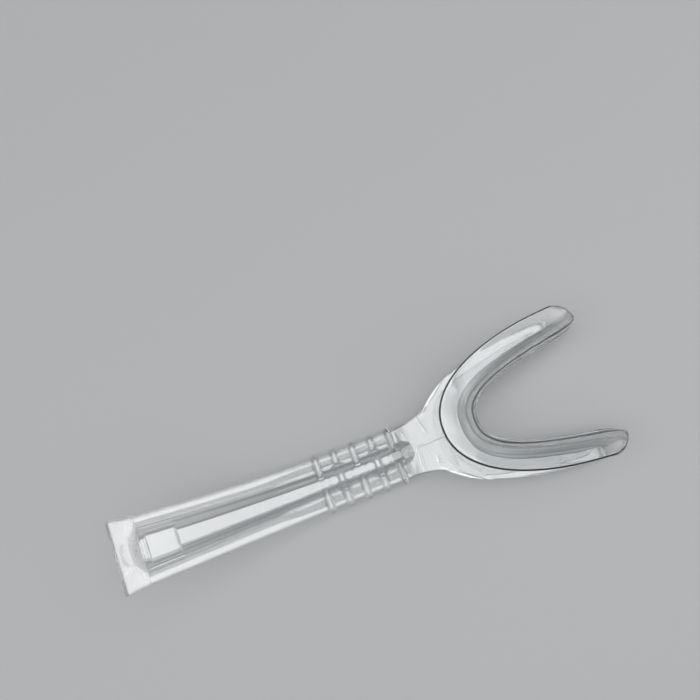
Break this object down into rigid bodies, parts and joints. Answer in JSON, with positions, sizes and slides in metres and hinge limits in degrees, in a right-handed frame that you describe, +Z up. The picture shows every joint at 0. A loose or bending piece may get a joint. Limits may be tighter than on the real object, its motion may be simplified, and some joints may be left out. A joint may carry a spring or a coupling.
{
  "type": "cheek retractor",
  "caption": "Clear plastic cheek retractor: a U-shaped head with an inner and an outer lip, a short neck, and a curved handle with raised grip bars.",
  "frame": {"origin": "on the table, under the middle of the bounding box", "axes": "+X from the tail to the tips of the arms, +Y to the left seen from the tail, +Z up from the table"},
  "size_m": [0.1642, 0.0514, 0.032],
  "materials": {
    "clear_plastic": "clear polished polycarbonate",
    "frosted_plastic": "clear polycarbonate with a fine frosted face"
  },
  "bodies": {
    "root": {"tail_flange": "frosted_plastic", "handle_web": "clear_plastic", "left_rail": "clear_plastic", "right_rail": "clear_plastic", "blank_pad": "clear_plastic", "left_long_bar_1": "clear_plastic", "left_long_bar_2": "clear_plastic", "left_long_bar_3": "clear_plastic", "right_long_bar_1": "clear_plastic", "right_long_bar_2": "clear_plastic", "right_long_bar_3": "clear_plastic", "left_short_bar_1": "clear_plastic", "left_short_bar_2": "clear_plastic", "right_short_bar_1": "clear_plastic", "right_short_bar_2": "clear_plastic", "centre_bar_1": "clear_plastic", "centre_bar_2": "clear_plastic", "neck": "clear_plastic", "outer_lip": "clear_plastic", "saddle_wall": "clear_plastic", "inner_lip": "clear_plastic"}
  },
  "joints": []
}
